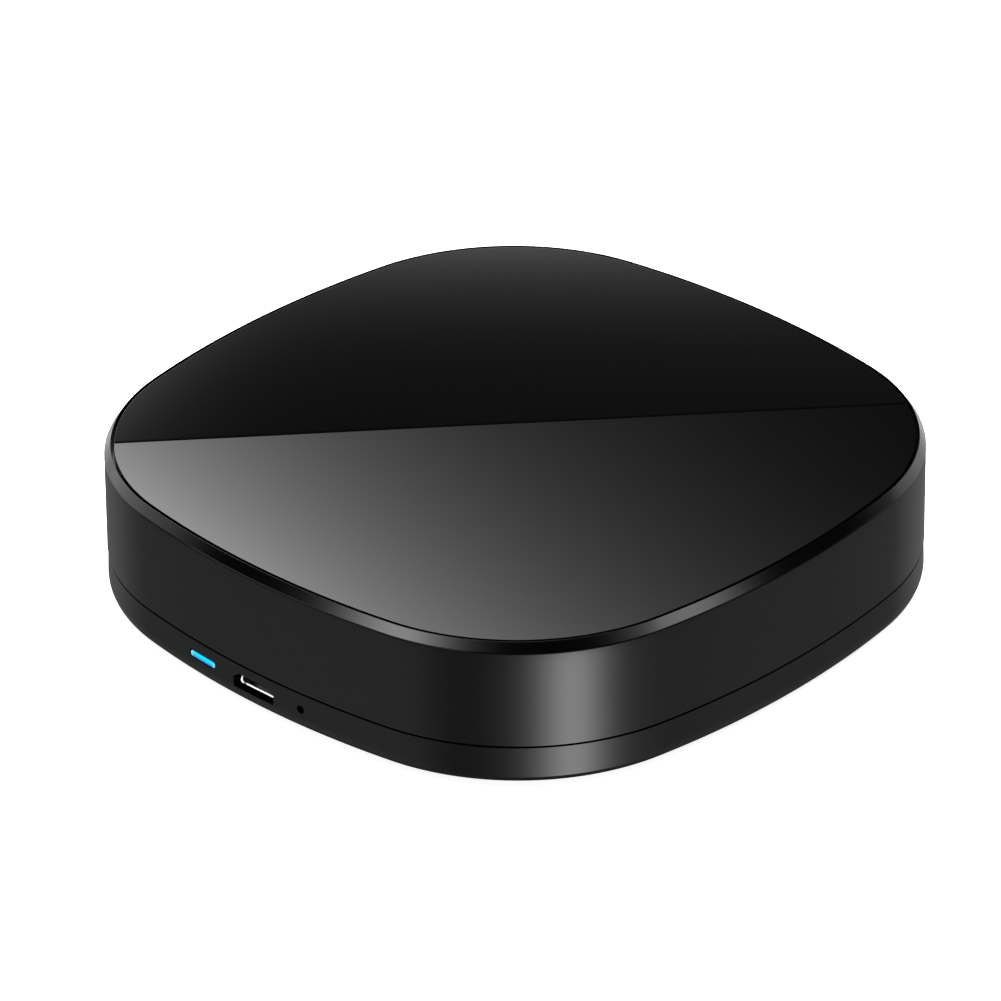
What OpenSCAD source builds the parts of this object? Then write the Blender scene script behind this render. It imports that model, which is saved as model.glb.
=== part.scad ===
// Smart infrared blaster: a low housing whose outline is a square of eight blended arcs.
// A gloss panel that lets infrared through closes the top, and a ring of tilted emitters, a
// receiver and a radio module stand on one board inside. The power socket, the status light
// and the reset switch hang under that board and look out through the base wall.
// Lengths are in millimetres. The feet stand on z = 0 and the ports face -Y.

/* [Housing] */
// Width and depth of the housing across its flats
body_w = 100; // [96:1:110]
// Height of the housing from the underside of the base to the top panel
body_h = 21.6; // [21:0.2:26]
// Radius of the four long bowed sides, as a share of the width
side_share = 1.3; // [1.2:0.01:1.45]
// Radius of the four corners, as a share of the width
corner_share = 0.315; // [0.29:0.005:0.34]
// Thickness of the walls of both shells
wall = 1.8; // [1.6:0.1:2]
// Thickness of the floor of the base
floor_t = 1.8; // [1.6:0.1:2]
// Radius of the edge round the underside of the base
base_edge_r = 2.4; // [1.2:0.1:2.6]
// Height of the seam between the shells above the underside of the base
seam_h = 6.1; // [6:0.1:7]
// Height of the shadow line at the seam
seam_gap = 0.3; // [0.2:0.05:0.4]
// Depth of the shadow line at the seam
seam_depth = 0.5; // [0.3:0.05:0.6]
// Height of the lip on the base that the upper shell fits over
lip_h = 2.2; // [1.6:0.1:3]
// Width of the chamfer round the top of the upper shell
chamfer_w = 0.88; // [0.6:0.02:1]
// Height of the chamfer round the top of the upper shell
chamfer_h = 1.3; // [0.9:0.05:1.5]

/* [Top panel] */
// Thickness of the top panel
panel_t = 1.5; // [1.2:0.1:1.8]
// Width of the groove between the panel and the rim of the upper shell
panel_gap = 0.3; // [0.2:0.05:0.4]
// Small broken edge round the top of the panel
panel_edge = 0.12; // [0.08:0.02:0.2]
// Width of the ledge in the upper shell that carries the panel
ledge_w = 4; // [3.5:0.1:4.6]
// Thickness of that ledge
ledge_t = 1.6; // [1.2:0.1:2]

/* [Ports] */
// Place of the socket opening along the front, from the middle
usb_x = -0.5; // [-1:0.1:1]
// Height of the middle of the socket above the underside of the base
usb_h = 3.5; // [3.4:0.05:3.7]
// Width of the socket opening
usb_slot_w = 7.5; // [7.4:0.05:7.8]
// Height of the socket opening
usb_slot_h = 2.2; // [2.1:0.05:2.3]
// Place of the status light along the front, from the middle
light_x = -10.5; // [-12:0.1:-9.5]
// Length of the status light
light_w = 5.1; // [4:0.1:5.5]
// Height of the status light
light_t = 0.95; // [0.7:0.05:1]
// Place of the reset hole along the front, from the middle
reset_x = 8.1; // [7.8:0.1:10]
// Diameter of the reset hole
reset_d = 1.2; // [1:0.05:1.4]
// Travel of the reset button
reset_travel = 0.25; // [0.15:0.05:0.3]

/* [Board] */
// Thickness of the main board
board_t = 1.2; // [1:0.1:1.6]
// Distance from the outside of the housing to the edge of the board
board_inset = 3.2; // [2.8:0.1:4]

/* [Emitters] */
// Upward tilt of the emitters in the ring
emitter_tilt = 15; // [5:1:20]
// Distance from the flat side of the housing to the tips of the emitters
emitter_setback = 6; // [5:0.5:8]
// Height of the ring emitters' leads above the board
emitter_lift = 4; // [3.6:0.1:4.6]

/* [Feet and screws] */
// Radius of a rubber foot
foot_r = 5; // [4.5:0.1:5.2]
// How far the feet stand out below the base
foot_out = 0.8; // [0.5:0.1:1.2]
// Depth of the recesses that the feet are stuck in
foot_recess = 0.8; // [0.5:0.05:0.9]
// Distance from the corner of the housing to the screws and feet
post_inset = 8; // [7.8:0.1:8.6]
// Length of the shank of a case screw
case_screw_l = 8; // [7:0.5:9]

/* [Hidden] */
$fn = 180;
small_fn = 48;
// One overrun for every cut that has to break through a face
over = 0.5;

// Heights of the housing, from the surface that the feet stand on
half_w = body_w / 2;
base_z = foot_out;
floor_z = base_z + floor_t;
seam_z = base_z + seam_h;
top_z = base_z + body_h;
panel_z = top_z - panel_t;
gasket_t = 0.2;
ledge_z = panel_z - gasket_t;

// The outline: corner arcs blend into side arcs at an angle of side_angle off each axis
// Radii and profiles are rounded to this step, so that the arcs of one ring meet exactly
snap_step = 0.001;
arc_lap = 0.02;
function snap(v) = round(v / snap_step) * snap_step;
side_r = snap(body_w * side_share);
corner_r = snap(body_w * corner_share);
side_centre = half_w - side_r;
arc_step = side_r - corner_r;
corner_at = (side_centre + sqrt(2 * arc_step * arc_step - side_centre * side_centre)) / 2;
side_angle = atan2(corner_at, corner_at - side_centre);
// The side arcs run a hair past where they meet the corners, so no gap opens there
side_reach = side_angle + arc_lap / side_r * 180 / PI;
corner_reach = corner_at * sqrt(2) + corner_r;
// Place of the front wall's face, at a given distance in from the outside
function wall_y(x, inset) = -side_centre - sqrt(pow(side_r - inset, 2) - x * x);

// A plate is a ring of eight arcs round a flat core, which overlap between these shares of
// the corner radius
ring_to_share = 0.64;
core_from_share = 0.4;
ring_to = corner_r * ring_to_share;
core_r = side_r - corner_r * core_from_share;
core_points = [
    for (quarter = [0:3], side = [-1, 1])
        let (x = side_centre + core_r * cos(side_angle), y = side * core_r * sin(side_angle))
            [
                x * cos(90 * quarter) - y * sin(90 * quarter),
                x * sin(90 * quarter) + y * cos(90 * quarter)
            ]
];

// Rim, lap joint and ledge
rim_land = 0.1;
rim_t = chamfer_w + rim_land;
panel_inset = rim_t + panel_gap;
ledge_inset = rim_t + ledge_w;
lap_gap = 0.1;
lap_t = wall / 2;
lip_top = seam_z + seam_gap / 2 + lip_h;
lip_clear = 0.2;
edge_steps = 6;
gasket_margin = 0.4;
panel_rib_t = 1;
panel_rib_h = 1.4;
panel_rib_gap = 0.3;

// Corner posts, feet and case screws
post_at = corner_reach - post_inset;
post_r = 4;
post_top = seam_z + seam_gap;
boss_r = 2.9;
pad_r = 4.3;
corner_rib_t = 1.2;
corner_rib_drop = 9;
foot_gap = 0.1;
foot_edge = 0.4;
case_screw_r = 1.1;
case_head_r = 2.1;
case_head_t = 1.5;
case_head_rise = 1.3;
case_seat = base_z + foot_recess + case_head_rise + case_head_t;
thread_gap = 0.02;
shank_gap = 0.2;
head_gap = 0.25;
tip_gap = 0.5;
cross_w = 0.5;
cross_depth = 0.7;

// Socket: a sheet shell that hangs from the underside of the board, wide side down
usb_size = [7.4, 5.6, 2.35];
usb_sheet = 0.25;
usb_bevel = [0.95, 0.7];
usb_slot_bevel = [1.1, 0.65];
usb_wall_gap = 0.1;
usb_block_l = 2.2;
usb_tongue_size = [4, 2.7, 0.7];
usb_tongue_lift = 0.3;
usb_tab = [1, 1.4, 0.25];
contact_size = [0.35, 2.3, 0.1];
contact_tail = 0.9;
contact_pitch = 0.65;
contact_count = 5;

// Main board
board_z = base_z + usb_h + usb_size.z / 2;
board_top = board_z + board_t;
board_half = half_w - board_inset;
board_post_gap = 0.75;
board_corner = post_at - post_r - board_post_gap;
board_screw_r = 0.95;
board_screw_l = 3.6;
board_head_r = 1.9;
board_head_t = 1.3;
board_screw_share = 0.577;
standoff_r = 2.5;
floor_rib_t = 1;
floor_rib_h = 1.3;
lead_t = 0.5;
lead_hole_r = 0.45;
lead_tail = 0.8;

// Reset switch, whose button is pressed along +Y
reset_size = [4.6, 3.4, 2];
reset_drop = 1.04;
reset_setback = 3;
reset_front = wall_y(reset_x, wall) + reset_setback;
reset_nose_r = 0.6;
reset_nose_l = 1.1;
reset_collar_r = 0.8;
reset_collar_t = 0.4;
reset_nub_r = 0.35;
reset_nub_l = 0.2;
reset_gap = 0.05;
reset_skin = 0.5;
reset_spare = 0.05;
dome_r = 0.75;
dome_rise = 0.2;
dome_shoulder_share = 0.75;
dome_t = 0.06;
reset_stack = reset_gap + reset_collar_t + reset_nub_l + reset_travel + reset_spare + dome_rise + dome_t;
reset_chamber = [2.6, reset_stack, 1.7];
terminal_size = [0.6, 0.8, 0.25];

// Status light: a side-looking lamp behind a clear bar with a flange
light_rise = 0.26;
light_h = usb_h + light_rise;
light_gap = 0.18;
light_recess = 0.12;
light_flange = [6.7, 0.9, 1.7];
light_bar_l = 3.4;
lamp_size = [3.2, 1.2, 1.1];
lamp_window = [2.4, 0.3, 0.7];
lamp_gap = 0.1;
saddle_size = [8.2, 1.6];

// Emitters, receiver and their leads
emitter_r = 2.5;
emitter_flange_r = 2.9;
emitter_flange_t = 1;
emitter_l = 8.6;
emitter_count = 6;
emitter_first = 30;
emitter_step = 360 / emitter_count;
dome_steps = 8;
lead_pitch = 2.54;
lead_back = 2;
top_lift = 1.5;
emitter_at = half_w - emitter_setback - emitter_l * cos(emitter_tilt);
emitter_z = board_top + emitter_lift;
lead_at = emitter_at - lead_back * cos(emitter_tilt);
receiver_size = [5, 3.9, 7];
receiver_dome_r = 1.9;
receiver_lift = 2;
receiver_shares = [0, -0.3];

// Radio module, power and driver parts on top of the board
module_size = [24, 18, 0.8];
module_shares = [-0.69, 0];
antenna_t = 0.1;
antenna_w = 0.8;
antenna_pitch = 2;
antenna_turns = 7;
antenna_reach = 4.8;
shield_sheet = 0.2;
shield_h = 2.3;
shield_margin = 0.8;
shield_side = 1;
shield_gap = 2;
shield_size = [
    module_size.x - shield_margin - shield_gap - antenna_reach - antenna_w,
    module_size.y - 2 * shield_side, shield_h
];
chip_size = [5, 5, 0.9];
can_r = 3.15;
can_h = 7.7;
can_base = [6.6, 6.6, 0.9];
can_groove = 0.25;
can_shares = [0.48, 0];
regulator_size = [6.5, 3.5, 1.6];
regulator_tab = [3, 1.7, 0.3];
regulator_lead = [0.7, 1.5, 0.25];
regulator_pitch = 2.3;
regulator_shares = [0.32, -0.52];
transistor_size = [2.9, 1.3, 1];
transistor_lead = [0.4, 0.55, 0.15];
transistor_pitch = 1.9;
transistor_back = 5;
resistor_size = [1.6, 0.8, 0.45];
chip_cap_size = [2, 1.25, 0.9];
chip_cap_shares = [[0.3, -0.38], [0.4, -0.38], [0.34, 0.14], [-0.3, 0.24], [-0.3, -0.24]];

// Revolves a closed profile of [inset, height] points along the eight arcs of the outline
module ring_solid(profile) {
    for (quarter = [0:3])
        rotate(90 * quarter)
            corner_solid(profile);
    for (quarter = [0:3])
        rotate(90 * quarter)
            side_solid(profile);
}

module corner_solid(profile) {
    translate([corner_at, corner_at])
        rotate_extrude(angle = 90 - 2 * side_angle, start = side_angle)
            polygon([for (p = profile) [corner_r - snap(p.x), snap(p.y)]]);
}

module side_solid(profile) {
    translate([side_centre, 0])
        rotate_extrude(angle = 2 * side_reach, start = -side_reach)
            polygon([for (p = profile) [side_r - snap(p.x), snap(p.y)]]);
}

module core(low, high) {
    translate([0, 0, low])
        linear_extrude(high - low)
            polygon(core_points);
}

module plate(inset, low, high) {
    ring_solid([[inset, low], [inset, high], [ring_to, high], [ring_to, low]]);
    core(low, high);
}

module at_corners() {
    for (quarter = [0:3])
        rotate(45 + 90 * quarter)
            translate([post_at, 0, 0])
                children();
}

module at_board_screws() {
    for (x = [-1, 1], y = [-1, 1])
        translate([x * board_half * board_screw_share, y * board_half * board_screw_share, 0])
            children();
}

// A block centred in x and y on the origin, standing on z = 0
module block(size) {
    translate([-size.x / 2, -size.y / 2, 0])
        cube(size);
}

module on_board(shares) {
    translate([shares.x * board_half, shares.y * board_half, board_top])
        children();
}

// Cross recess for a driver, cut down from z = 0
module cross(head_r) {
    for (turn = [0, 90])
        rotate(turn)
            translate([-head_r * cross_w, -cross_w / 2, -cross_depth])
                cube([2 * head_r * cross_w, cross_w, cross_depth + over]);
}

// Top panel and its adhesive

module top_panel() {
    color("#0d0d0f") {
        ring_solid([
            [panel_inset, panel_z], [panel_inset, top_z - panel_edge],
            [panel_inset + panel_edge, top_z], [ring_to, top_z], [ring_to, panel_z]
        ]);
        core(panel_z, top_z);
        rib_low = panel_z - panel_rib_h;
        rib_out = ledge_inset + panel_rib_gap;
        rib_in = rib_out + panel_rib_t;
        for (quarter = [0:3])
            rotate(90 * quarter)
                side_solid([
                    [rib_out, rib_low], [rib_out, panel_z + panel_t / 2],
                    [rib_in, panel_z + panel_t / 2], [rib_in, rib_low]
                ]);
    }
}

module panel_gasket() {
    color("#3a3a3c")
        ring_solid([
            [panel_inset + gasket_margin, ledge_z], [panel_inset + gasket_margin, panel_z],
            [ledge_inset - gasket_margin, panel_z], [ledge_inset - gasket_margin, ledge_z]
        ]);
}

// The two shells

module upper_shell() {
    ledge_low = ledge_z - ledge_t;
    lap_top = lip_top + lip_clear;
    skirt_z = seam_z + seam_gap / 2;
    color("#1c1c1e")
        difference() {
            union() {
                ring_solid([
                    [0, skirt_z], [0, top_z - chamfer_h], [chamfer_w, top_z], [rim_t, top_z],
                    [rim_t, ledge_z], [ledge_inset, ledge_z], [ledge_inset, ledge_low],
                    [wall, ledge_low - ledge_inset + wall], [wall, lap_top], [lap_t, lap_top],
                    [lap_t, skirt_z]
                ]);
                at_corners() {
                    translate([0, 0, post_top])
                        cylinder(r = boss_r, h = ledge_z - post_top);
                    translate([0, 0, ledge_low])
                        cylinder(r = pad_r, h = ledge_t);
                    translate([0, -corner_rib_t / 2, ledge_z - corner_rib_drop])
                        cube([post_inset - wall / 2, corner_rib_t, corner_rib_drop]);
                }
            }
            at_corners()
                translate([0, 0, post_top - over])
                    cylinder(
                        r = case_screw_r + thread_gap,
                        h = case_seat + case_screw_l + tip_gap - post_top + over,
                        $fn = small_fn
                    );
        }
}

module base_shell() {
    wall_top = seam_z - seam_gap / 2;
    seat_z = seam_z + seam_gap / 2;
    lip_out = lap_t + lap_gap;
    edge = [
        for (i = [0:edge_steps])
            let (turn = 90 * i / edge_steps)
                [base_edge_r - base_edge_r * sin(turn), base_z + base_edge_r - base_edge_r * cos(turn)]
    ];
    color("#1c1c1e")
        difference() {
            union() {
                ring_solid(concat(
                    edge,
                    [
                        [0, wall_top], [seam_depth, wall_top], [seam_depth, seat_z], [lip_out, seat_z],
                        [lip_out, lip_top], [wall, lip_top], [wall, floor_z], [ring_to, floor_z],
                        [ring_to, base_z]
                    ]
                ));
                core(base_z, floor_z);
                base_posts();
                base_ribs();
                light_saddle();
            }
            foot_and_screw_holes();
            port_openings();
        }
}

// Posts that the case screws pass through, standoffs under the board, and ribs out to the wall
module base_posts() {
    at_corners() {
        translate([0, 0, base_z])
            cylinder(r = post_r, h = post_top - base_z);
        translate([0, -corner_rib_t / 2, floor_z - floor_t / 2])
            cube([post_inset - wall / 2, corner_rib_t, seam_z - floor_z]);
    }
    at_board_screws()
        translate([0, 0, floor_z - floor_t / 2])
            cylinder(r = standoff_r, h = board_z - floor_z + floor_t / 2);
}

// Low ribs that stiffen the floor: a square through the standoffs and an arm to each post
module base_ribs() {
    reach = board_half * board_screw_share;
    rib_low = floor_z - floor_t / 2;
    rib_h = floor_rib_h + floor_t / 2;
    for (quarter = [0:3])
        rotate(90 * quarter) {
            translate([-reach, reach - floor_rib_t / 2, rib_low])
                cube([2 * reach, floor_rib_t, rib_h]);
            rotate(45)
                translate([reach * sqrt(2), -floor_rib_t / 2, rib_low])
                    cube([post_at - reach * sqrt(2), floor_rib_t, rib_h]);
        }
}

// Block under the light bar's flange
module light_saddle() {
    saddle_h = light_h - light_flange.z / 2 - floor_t;
    intersection() {
        translate([light_x - saddle_size.x / 2, -half_w, floor_z - floor_t / 2])
            cube([saddle_size.x, wall_y(light_x, wall) + half_w + saddle_size.y, saddle_h + floor_t / 2]);
        plate(wall / 2, base_z, seam_z);
    }
}

module foot_and_screw_holes() {
    at_corners() {
        translate([0, 0, base_z - over])
            cylinder(r = foot_r + foot_gap, h = foot_recess + over);
        translate([0, 0, base_z])
            cylinder(r = case_head_r + head_gap, h = case_seat - base_z, $fn = small_fn);
        translate([0, 0, base_z])
            cylinder(r = case_screw_r + shank_gap, h = post_top - base_z + over, $fn = small_fn);
    }
    at_board_screws()
        translate([0, 0, board_top - board_screw_l - tip_gap / 2])
            cylinder(r = board_screw_r + thread_gap, h = board_screw_l + over, $fn = small_fn);
}

module port_openings() {
    // Socket opening, with the bevelled corners of the plug at the top
    port_cut(usb_x, usb_slot_w, usb_h - usb_slot_h / 2)
        socket_outline([usb_slot_w, usb_slot_h], usb_slot_bevel);
    // Slot with round ends for the status light
    port_cut(light_x, light_w, light_h)
        pill(light_w + 2 * light_gap, light_t + 2 * light_gap);
    // Hole for a reset pin
    translate([reset_x, -half_w - over, board_z - reset_drop])
        rotate([-90, 0, 0])
            cylinder(d = reset_d, h = wall_y(reset_x, wall) + half_w + 2 * over, $fn = small_fn);
}

// Cuts an outline through the bowed front wall, over a stretch of the given width about x
module port_cut(x, width, height) {
    back = wall_y(abs(x) + width / 2, wall) + over;
    translate([x, back, base_z + height])
        rotate([90, 0, 0])
            linear_extrude(back + half_w + over)
                children();
}

module pill(length, height) {
    square([length - height, height], center = true);
    for (side = [-1, 1])
        translate([side * (length - height) / 2, 0])
            circle(d = height, $fn = small_fn);
}

// Socket outline, standing on y = 0, with bevels at its upper corners
module socket_outline(size, bevel) {
    half = size.x / 2;
    polygon([
        [-half, 0], [half, 0], [half, size.y - bevel.y], [half - bevel.x, size.y],
        [bevel.x - half, size.y], [-half, size.y - bevel.y]
    ]);
}

// Feet and screws

module foot(quarter) {
    height = foot_out + foot_recess;
    color("#2a2a2a")
        rotate(45 + 90 * quarter)
            translate([post_at, 0, 0])
                rotate_extrude()
                    polygon([
                        [0, 0], [foot_r - foot_edge, 0], [foot_r, foot_edge],
                        [foot_r, height], [0, height]
                    ]);
}

module case_screws() {
    color("silver")
        at_corners()
            translate([0, 0, case_seat])
                rotate([0, 0, 45])
                    difference() {
                        rotate_extrude($fn = small_fn)
                            polygon([
                                [0, -case_head_t], [case_head_r - cross_w / 2, -case_head_t],
                                [case_head_r, -case_head_t + cross_w / 2], [case_head_r, 0],
                                [case_screw_r, 0], [case_screw_r, case_screw_l - case_screw_r],
                                [case_screw_r / 2, case_screw_l], [0, case_screw_l]
                            ]);
                        translate([0, 0, -case_head_t])
                            mirror([0, 0, 1])
                                cross(case_head_r);
                    }
}

module board_screws() {
    color("silver")
        at_board_screws()
            translate([0, 0, board_top])
                difference() {
                    rotate_extrude($fn = small_fn)
                        polygon([
                            [0, -board_screw_l], [board_screw_r / 2, -board_screw_l],
                            [board_screw_r, -board_screw_l + board_screw_r / 2], [board_screw_r, 0],
                            [board_head_r, 0], [board_head_r, board_head_t - cross_w / 2],
                            [board_head_r - cross_w / 2, board_head_t], [0, board_head_t]
                        ]);
                    translate([0, 0, board_head_t])
                        cross(board_head_r);
                }
}

// Main board, cut straight across its corners to clear the posts

module main_board() {
    color("darkgreen")
        difference() {
            plate(board_inset, board_z, board_top);
            for (quarter = [0:3])
                rotate(45 + 90 * quarter)
                    translate([board_corner, -half_w, board_z - over])
                        cube([half_w, body_w, board_t + 2 * over]);
            translate([0, 0, board_z - over]) {
                at_board_screws()
                    cylinder(r = board_screw_r + shank_gap, h = board_t + 2 * over, $fn = small_fn);
                at_ring_leads()
                    cylinder(r = lead_hole_r, h = board_t + 2 * over, $fn = small_fn);
                at_top_leads()
                    cylinder(r = lead_hole_r, h = board_t + 2 * over, $fn = small_fn);
                at_receiver_leads()
                    cylinder(r = lead_hole_r, h = board_t + 2 * over, $fn = small_fn);
            }
        }
}

module at_emitters() {
    for (i = [0:emitter_count - 1])
        rotate(emitter_first + emitter_step * i)
            children();
}

module at_ring_leads() {
    at_emitters()
        for (side = [-1, 1])
            translate([lead_at, side * lead_pitch / 2, 0])
                children();
}

module at_top_leads() {
    for (side = [-1, 1])
        translate([0, side * lead_pitch / 2, 0])
            children();
}

module at_receiver_leads() {
    for (i = [-1:1])
        translate([receiver_shares.x * board_half + i * lead_pitch, receiver_shares.y * board_half, 0])
            children();
}

// Power socket

module usb_place() {
    translate([usb_x, -half_w + wall + usb_wall_gap + usb_size.y, board_z - usb_size.z])
        rotate([90, 0, 0])
            children();
}

module usb_shell() {
    color("silver") {
        usb_place()
            linear_extrude(usb_size.y)
                difference() {
                    socket_outline([usb_size.x, usb_size.z], usb_bevel);
                    translate([0, usb_sheet])
                        socket_outline([usb_size.x - 2 * usb_sheet, usb_size.z - 2 * usb_sheet], usb_bevel);
                }
        // Solder tabs bent out against the board
        for (side = [-1, 1], back = [0, 1])
            translate([
                usb_x + side * (usb_size.x / 2 - usb_bevel.x + usb_tab.x / 2),
                -board_half + usb_tab.y / 2 + back * (usb_size.y - 2 * usb_tab.y),
                board_z - usb_tab.z
            ])
                block(usb_tab);
    }
}

module usb_tongue() {
    inner_w = usb_size.x - 2 * usb_sheet;
    inner_h = usb_size.z - 2 * usb_sheet;
    color("#151515")
        usb_place() {
            translate([0, usb_sheet])
                linear_extrude(usb_block_l)
                    socket_outline([inner_w, inner_h], usb_bevel);
            translate([-usb_tongue_size.x / 2, usb_sheet + usb_tongue_lift, usb_block_l / 2])
                cube([usb_tongue_size.x, usb_tongue_size.z, usb_tongue_size.y + usb_block_l / 2]);
        }
}

module usb_contacts() {
    first = -(contact_count - 1) / 2;
    color("gold")
        usb_place()
            for (i = [0:contact_count - 1])
                translate([(first + i) * contact_pitch - contact_size.x / 2, 0, 0]) {
                    translate([0, usb_sheet + usb_tongue_lift + usb_tongue_size.z, usb_block_l])
                        cube([contact_size.x, contact_size.z, contact_size.y]);
                    translate([0, usb_size.z - usb_sheet - contact_size.z, -contact_tail])
                        cube([contact_size.x, usb_sheet + contact_size.z, contact_tail]);
                }
}

// Reset switch: a body soldered under the board, a button and a snap dome behind it

module reset_place() {
    translate([reset_x, reset_front, board_z - reset_drop])
        rotate([-90, 0, 0])
            children();
}

module reset_switch() {
    color("#26262a")
        difference() {
            translate([reset_x - reset_size.x / 2, reset_front, board_z - reset_size.z])
                cube(reset_size);
            reset_place()
                translate([0, 0, -over])
                    cylinder(
                        r = reset_nose_r + reset_gap,
                        h = over + reset_skin + reset_gap,
                        $fn = small_fn
                    );
            translate([
                reset_x - reset_chamber.x / 2, reset_front + reset_skin,
                board_z - reset_drop - reset_chamber.z / 2
            ])
                cube(reset_chamber);
        }
}

module switch_terminals() {
    color("silver")
        for (side = [-1, 1], back = [0, 1])
            translate([
                reset_x + side * (reset_size.x + terminal_size.x) / 2,
                reset_front + terminal_size.y / 2 + back * (reset_size.y - terminal_size.y),
                board_z - terminal_size.z
            ])
                block(terminal_size);
}

module reset_plunger() {
    collar_z = reset_skin + reset_gap;
    color("#e8e4da")
        reset_place()
            rotate_extrude($fn = small_fn)
                polygon([
                    [0, -reset_nose_l], [reset_nose_r - reset_gap, -reset_nose_l],
                    [reset_nose_r, -reset_nose_l + reset_gap], [reset_nose_r, collar_z],
                    [reset_collar_r, collar_z], [reset_collar_r, collar_z + reset_collar_t],
                    [reset_nub_r, collar_z + reset_collar_t],
                    [reset_nub_r, collar_z + reset_collar_t + reset_nub_l],
                    [0, collar_z + reset_collar_t + reset_nub_l]
                ]);
}

// Drawn as it is when pressed in, with its rim on the back of the chamber
module reset_dome() {
    back = reset_skin + reset_chamber.y;
    shoulder = back - dome_rise * dome_shoulder_share;
    color("silver")
        reset_place()
            rotate_extrude($fn = small_fn)
                polygon([
                    [0, back - dome_rise - dome_t], [dome_r / 2, shoulder - dome_t],
                    [dome_r, back - dome_t], [dome_r, back], [dome_r / 2, shoulder],
                    [0, back - dome_rise]
                ]);
}

// Status light

module light_pipe() {
    flange_in = wall + lap_gap / 2;
    flange_y = wall_y(light_x, flange_in);
    bar_back = flange_y + light_bar_l;
    color("#28b8ff")
        intersection() {
            union() {
                translate([light_x, bar_back, base_z + light_h])
                    rotate([90, 0, 0])
                        linear_extrude(bar_back + half_w)
                            pill(light_w, light_t);
                intersection() {
                    translate([light_x, flange_y, base_z + light_h - light_flange.z / 2])
                        block([light_flange.x, 2 * light_flange.y, light_flange.z]);
                    plate(flange_in, base_z, seam_z);
                }
            }
            plate(light_recess, base_z, seam_z);
        }
}

module status_led() {
    color("white")
        difference() {
            lamp_place()
                block(lamp_size);
            lamp_place()
                translate([0, -lamp_size.y / 2, (lamp_size.z - lamp_window.z) / 2])
                    block([lamp_window.x, 2 * lamp_window.y, lamp_window.z]);
        }
}

module status_led_lens() {
    color("#ffe9a0")
        lamp_place()
            translate([0, (lamp_window.y - lamp_size.y) / 2, (lamp_size.z - lamp_window.z) / 2])
                block(lamp_window);
}

module lamp_place() {
    translate([
        light_x, wall_y(light_x, wall + lap_gap / 2) + light_bar_l + lamp_gap + lamp_size.y / 2,
        board_z - lamp_size.z
    ])
        children();
}

// Infrared emitters: an epoxy body with a flange and a domed tip

module emitter() {
    barrel_l = emitter_l - emitter_r;
    color("#1b1426")
        rotate_extrude($fn = small_fn)
            polygon(concat(
                [
                    [0, 0], [emitter_flange_r, 0], [emitter_flange_r, emitter_flange_t],
                    [emitter_r, emitter_flange_t]
                ],
                [
                    for (i = [0:dome_steps])
                        let (turn = 90 * i / dome_steps)
                            [emitter_r * cos(turn), barrel_l + emitter_r * sin(turn)]
                ]
            ));
}

module ring_emitter(i) {
    rotate(emitter_first + emitter_step * (i - 1))
        translate([emitter_at, 0, emitter_z])
            rotate([0, 90 - emitter_tilt, 0])
                emitter();
}

module top_emitter() {
    translate([0, 0, board_top + top_lift])
        emitter();
}

// Square leads, bent once behind each ring emitter and straight under the top one
module emitter_leads() {
    drop = lead_back * sin(emitter_tilt);
    low = board_z - lead_tail;
    color("silver") {
        at_emitters()
            for (side = [-1, 1]) {
                translate([emitter_at, side * lead_pitch / 2, emitter_z])
                    rotate([0, 90 - emitter_tilt, 0])
                        translate([-lead_t / 2, -lead_t / 2, -lead_back])
                            cube([lead_t, lead_t, lead_back]);
                translate([lead_at - lead_t / 2, (side * lead_pitch - lead_t) / 2, low])
                    cube([lead_t, lead_t, emitter_z - drop - low]);
            }
        at_top_leads()
            translate([0, 0, low])
                block([lead_t, lead_t, board_top + top_lift - low]);
    }
}

// Infrared receiver, upright, with its lens to the front

module ir_receiver() {
    color("#141418")
        on_board(receiver_shares) {
            translate([0, 0, receiver_lift])
                block(receiver_size);
            translate([0, -receiver_size.y / 2, receiver_lift + receiver_size.z - receiver_size.x / 2])
                sphere(r = receiver_dome_r, $fn = small_fn);
        }
}

module receiver_leads() {
    low = board_z - lead_tail;
    color("silver")
        at_receiver_leads()
            translate([0, 0, low])
                block([lead_t, lead_t, board_top + receiver_lift - low]);
}

// Radio module: its own small board, a shield can over the chip and a printed antenna

module module_board() {
    color("#17324d")
        on_board(module_shares)
            block(module_size);
}

module shield_place() {
    on_board(module_shares)
        translate([(module_size.x - shield_size.x) / 2 - shield_margin, 0, module_size.z])
            children();
}

module module_shield() {
    color("silver")
        shield_place()
            difference() {
                block(shield_size);
                translate([0, 0, -over])
                    block(shield_size + [-2 * shield_sheet, -2 * shield_sheet, over - shield_sheet]);
            }
}

module module_chip() {
    color("#202022")
        shield_place()
            block(chip_size);
}

// A meander of straight tracks joined end to end
module module_antenna() {
    span = (antenna_turns - 1) * antenna_pitch;
    start = [antenna_w - module_size.x / 2, -span / 2, 0];
    color("#b87333")
        on_board(module_shares)
            translate([0, 0, module_size.z])
                for (i = [0:antenna_turns - 1])
                    translate(start + [0, i * antenna_pitch - antenna_w / 2, 0]) {
                        cube([antenna_reach, antenna_w, antenna_t]);
                        if (i < antenna_turns - 1)
                            translate([i % 2 == 0 ? antenna_reach - antenna_w : 0, 0, 0])
                                cube([antenna_w, antenna_pitch + antenna_w, antenna_t]);
                    }
}

// Power and driver parts

module capacitor_base() {
    color("#1a1a1a")
        on_board(can_shares)
            difference() {
                block(can_base);
                for (side = [-1, 1])
                    rotate(45 * side)
                        translate([-can_base.x, (can_base.y + can_base.z) / sqrt(2), -over])
                            cube([2 * can_base.x, can_base.y, can_base.z + 2 * over]);
            }
}

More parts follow.
